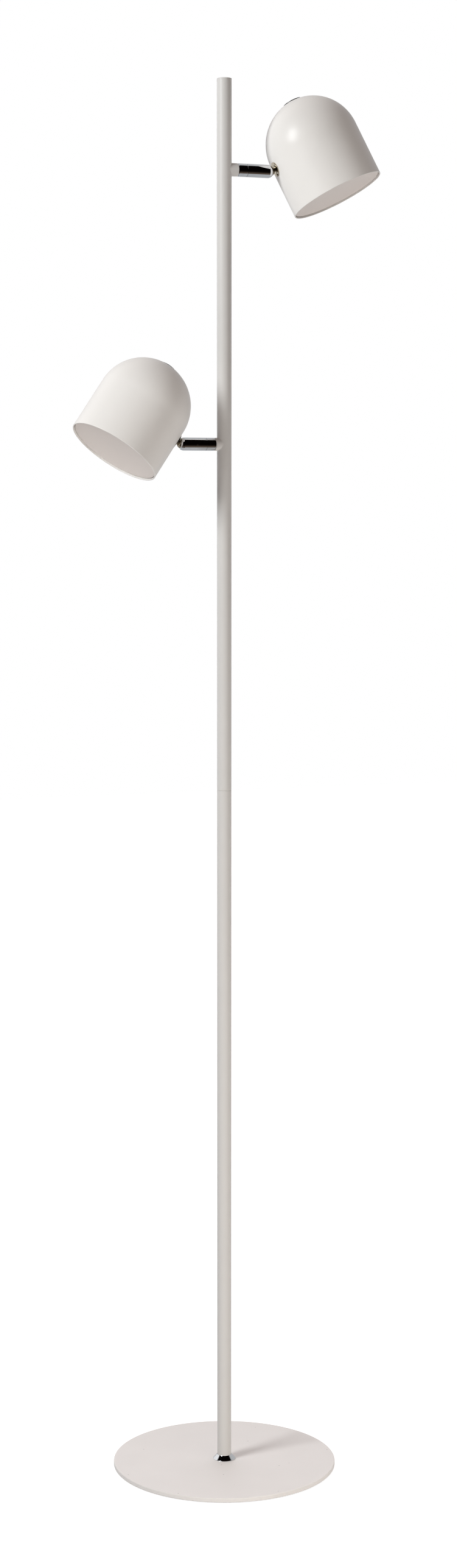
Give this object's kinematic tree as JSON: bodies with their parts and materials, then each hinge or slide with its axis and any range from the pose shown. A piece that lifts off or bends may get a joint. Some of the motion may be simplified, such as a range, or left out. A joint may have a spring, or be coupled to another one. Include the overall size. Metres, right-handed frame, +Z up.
{
  "type": "floor lamp",
  "caption": "Slim free-standing floor lamp: round disc base, thin pole, opposed arms with bullet-shaped spot heads on ball joints, closed by opal diffusers.",
  "frame": {"origin": "centre of the base pad underside, on the floor", "axes": "+Z up along the pole, +X along the upper arm, -X along the lower arm, +Y towards the back, where the cord enters"},
  "size_m": [0.3455, 0.255, 1.551],
  "materials": {
    "warm_white_paint": "fine-textured satin powder coat, warm off-white",
    "chrome": "bright chrome plate",
    "nickel": "bright nickel plate",
    "opal": "frosted opal acrylic",
    "black_plastic": "moulded black",
    "pad_foam": "closed-cell foam",
    "zinc_steel": "zinc plated",
    "acetal": "natural acetal",
    "bare_aluminium": "as cast",
    "circuit_board": "white solder mask",
    "reflector_white": "matt white",
    "lead_sheath": "white sheath"
  },
  "bodies": {
    "stand": {"arm_nipples": "zinc_steel", "base_pad": "pad_foam", "base_plate": "warm_white_paint", "cord_grommet": "black_plastic", "foot_collar": "chrome", "foot_nipple": "zinc_steel", "foot_nut": "zinc_steel", "foot_washer": "zinc_steel", "lower_arm_sleeve": "chrome", "lower_stub": "warm_white_paint", "pole_cap": "warm_white_paint", "pole_inserts": "zinc_steel", "pole_lead": "lead_sheath", "pole_lower": "warm_white_paint", "pole_nipple": "zinc_steel", "pole_upper": "warm_white_paint", "upper_arm_sleeve": "chrome", "upper_stub": "warm_white_paint"},
    "upper_barrel": {"upper_ball_seat": "acetal", "upper_grub_screw": "zinc_steel", "upper_joint_barrel": "chrome", "upper_seat_springs": "zinc_steel"},
    "upper_stud": {"upper_ball_stud": "nickel", "upper_stud_nut": "zinc_steel"},
    "upper_head": {"upper_bracket": "zinc_steel", "upper_bracket_screws": "zinc_steel", "upper_diffuser": "opal", "upper_driver_board": "circuit_board", "upper_flange_screw": "nickel", "upper_flange_washer": "nickel", "upper_head_leads": "lead_sheath", "upper_heat_sink": "bare_aluminium", "upper_led_board": "circuit_board", "upper_reflector": "reflector_white", "upper_shade": "warm_white_paint", "upper_touch_disc": "chrome", "upper_touch_gasket": "black_plastic", "upper_touch_nut": "zinc_steel"},
    "lower_barrel": {"lower_ball_seat": "acetal", "lower_grub_screw": "zinc_steel", "lower_joint_barrel": "chrome", "lower_seat_springs": "zinc_steel"},
    "lower_stud": {"lower_ball_stud": "nickel", "lower_stud_nut": "zinc_steel"},
    "lower_head": {"lower_bracket": "zinc_steel", "lower_bracket_screws": "zinc_steel", "lower_diffuser": "opal", "lower_driver_board": "circuit_board", "lower_flange_screw": "nickel", "lower_flange_washer": "nickel", "lower_head_leads": "lead_sheath", "lower_heat_sink": "bare_aluminium", "lower_led_board": "circuit_board", "lower_reflector": "reflector_white", "lower_shade": "warm_white_paint", "lower_touch_disc": "chrome", "lower_touch_gasket": "black_plastic", "lower_touch_nut": "zinc_steel"}
  },
  "joints": [
    {"name": "upper_arm_swivel", "type": "hinge", "parent": "stand", "child": "upper_barrel", "pos_m": [0.0349, 0, 1.4558], "axis": [1, 0, 0], "range_deg": [-175.5, 164.5]},
    {"name": "upper_ball_tilt", "type": "hinge", "parent": "upper_barrel", "child": "upper_stud", "pos_m": [0.0538, 0, 1.4558], "axis": [0, -0.9954, -0.0958], "range_deg": [-63.8, 16.2]},
    {"name": "upper_head_turn", "type": "hinge", "parent": "upper_stud", "child": "upper_head", "pos_m": [0.0538, 0, 1.4558], "axis": [0.915, -0.0387, 0.4017], "range_deg": [-141, 179]},
    {"name": "lower_arm_swivel", "type": "hinge", "parent": "stand", "child": "lower_barrel", "pos_m": [-0.0315, 0, 1.1626], "axis": [-1, 0, 0], "range_deg": [-174, 166]},
    {"name": "lower_ball_tilt", "type": "hinge", "parent": "lower_barrel", "child": "lower_stud", "pos_m": [-0.0504, 0, 1.1626], "axis": [0, 0.9976, -0.0698], "range_deg": [-75.4, 4.6]},
    {"name": "lower_head_turn", "type": "hinge", "parent": "lower_stud", "child": "lower_head", "pos_m": [-0.0504, 0, 1.1626], "axis": [-0.8151, 0.0404, 0.5779], "range_deg": [-161.5, 158.5]}
  ]
}
